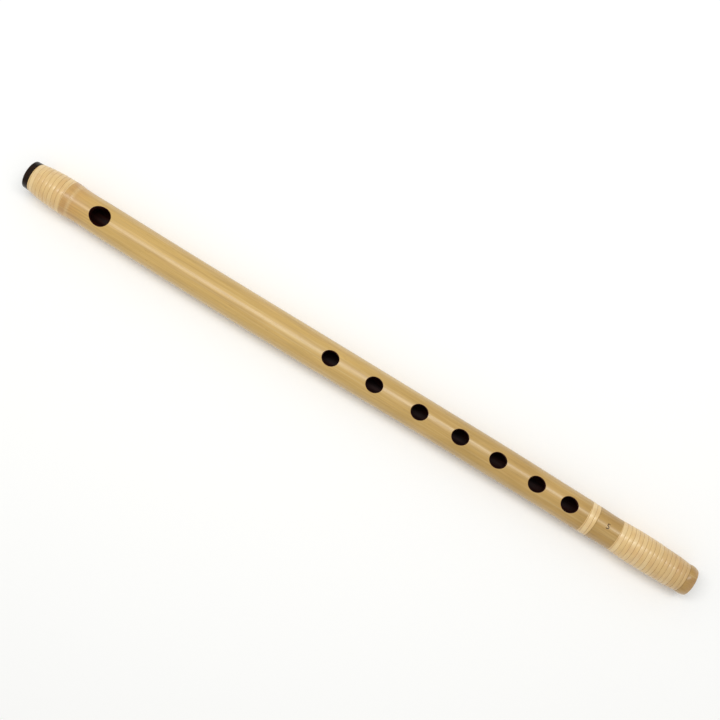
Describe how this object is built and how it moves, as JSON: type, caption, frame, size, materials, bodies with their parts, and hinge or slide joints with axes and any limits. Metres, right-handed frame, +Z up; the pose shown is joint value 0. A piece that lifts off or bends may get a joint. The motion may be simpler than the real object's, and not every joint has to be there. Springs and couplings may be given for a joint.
{
  "type": "transverse bamboo flute",
  "caption": "Slim side-blown bamboo flute with an oval mouth hole, a row of oval finger holes, a dark domed end cap and pale cane bands let in at both ends.",
  "frame": {"origin": "centre of the underside of the flute's box, on the surface that it lies on", "axes": "+X along the tube from the capped head to the open foot, +Z up through the mouth hole and the finger holes"},
  "size_m": [0.44, 0.0214, 0.0211],
  "materials": {
    "bamboo": "natural bamboo skin, satin, with dark lacquer in the bore",
    "black_lacquer": "black lacquer, glossy",
    "cork": "raw cork",
    "beeswax": "poured beeswax",
    "cane": "split cane, clear varnish, satin"
  },
  "bodies": {
    "root": {"bamboo_tube": "bamboo", "head_cap": "black_lacquer", "cork_stopper": "cork", "wax_seal": "beeswax", "head_binding": "cane", "foot_ring_binding": "cane", "foot_binding": "cane"}
  },
  "joints": []
}
